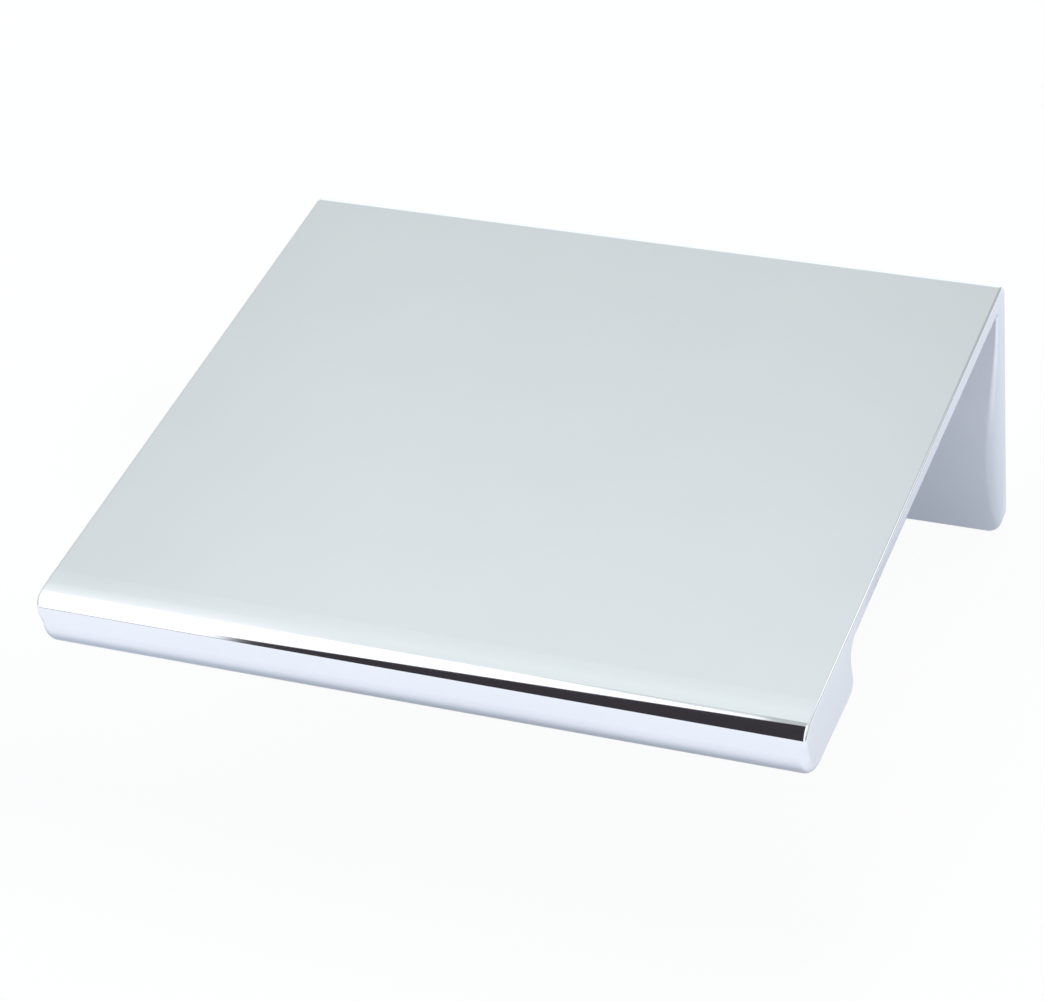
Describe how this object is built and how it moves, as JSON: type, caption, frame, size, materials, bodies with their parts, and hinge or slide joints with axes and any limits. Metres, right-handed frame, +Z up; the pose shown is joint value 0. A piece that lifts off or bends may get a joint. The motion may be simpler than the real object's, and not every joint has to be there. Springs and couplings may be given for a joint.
{
  "type": "tab pull",
  "caption": "Polished tab pull for a drawer or door edge: thin flat plate with a thick rounded finger lip in front and a down-turned screw leg behind.",
  "frame": {"origin": "midway between the two screw holes, on the leg face that bears on the back of the board", "axes": "+X along the pull, -Y to the front where the finger lip is, +Z up from the board edge"},
  "size_m": [0.0508, 0.0474, 0.0208],
  "materials": {
    "plated_metal": "bright polished chrome plate"
  },
  "bodies": {
    "root": {"tab_pull": "plated_metal"}
  },
  "joints": []
}
